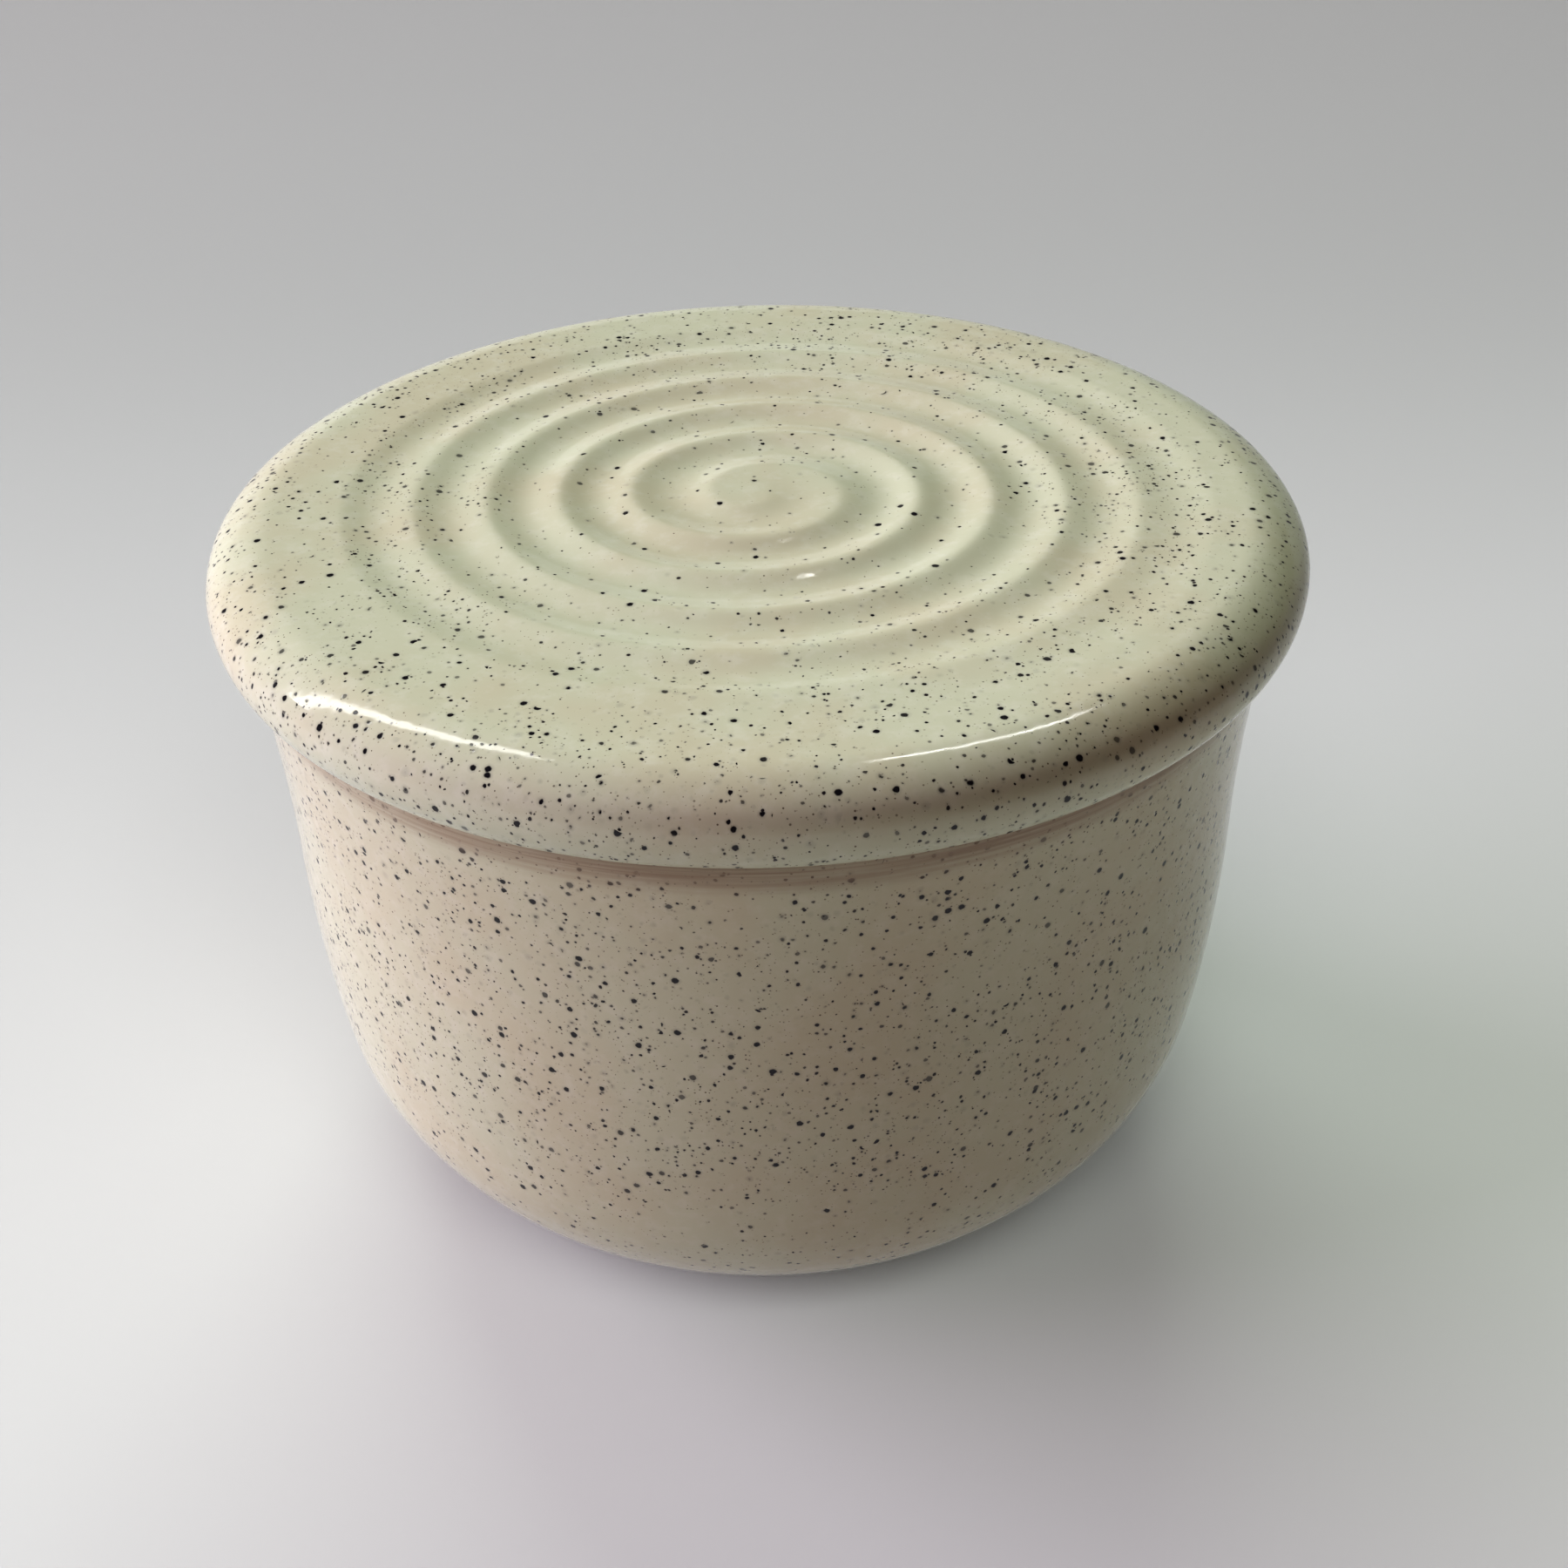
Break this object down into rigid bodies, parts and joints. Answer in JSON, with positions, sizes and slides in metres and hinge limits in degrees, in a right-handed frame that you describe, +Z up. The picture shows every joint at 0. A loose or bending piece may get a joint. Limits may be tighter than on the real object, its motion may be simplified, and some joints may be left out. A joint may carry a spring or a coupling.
{
  "type": "butter crock",
  "caption": "Round speckled stoneware butter crock with a flat spiral-grooved lid; a bell under the lid holds butter over sealing water in the crock.",
  "frame": {"origin": "centre of the foot ring's resting plane, on the surface that the crock stands on", "axes": "+Z up along the crock's and lid's common axis; +X to the viewer's right and +Y away from the viewer; the lid's finger groove ends at +X"},
  "size_m": [0.12, 0.12, 0.085],
  "materials": {
    "speckled_glaze": "glossy ivory glaze with fine dark iron speckles",
    "bell_glaze": "glossy ivory glaze with fine dark iron speckles, bare clay at the bell's mouth",
    "bare_stoneware": "unglazed speckled stoneware, dry and slightly rough"
  },
  "bodies": {
    "crock": {"crock_vessel": "speckled_glaze", "foot_ring": "bare_stoneware"},
    "lid": {"lid_disc": "speckled_glaze", "butter_bell": "bell_glaze", "outer_luting_coil": "bell_glaze", "inner_luting_coil": "bell_glaze"}
  },
  "joints": [
    {"name": "lid_lift", "type": "slide", "parent": "crock", "child": "lid", "axis": [0, 0, 1], "range_m": [0, 0.1]}
  ]
}
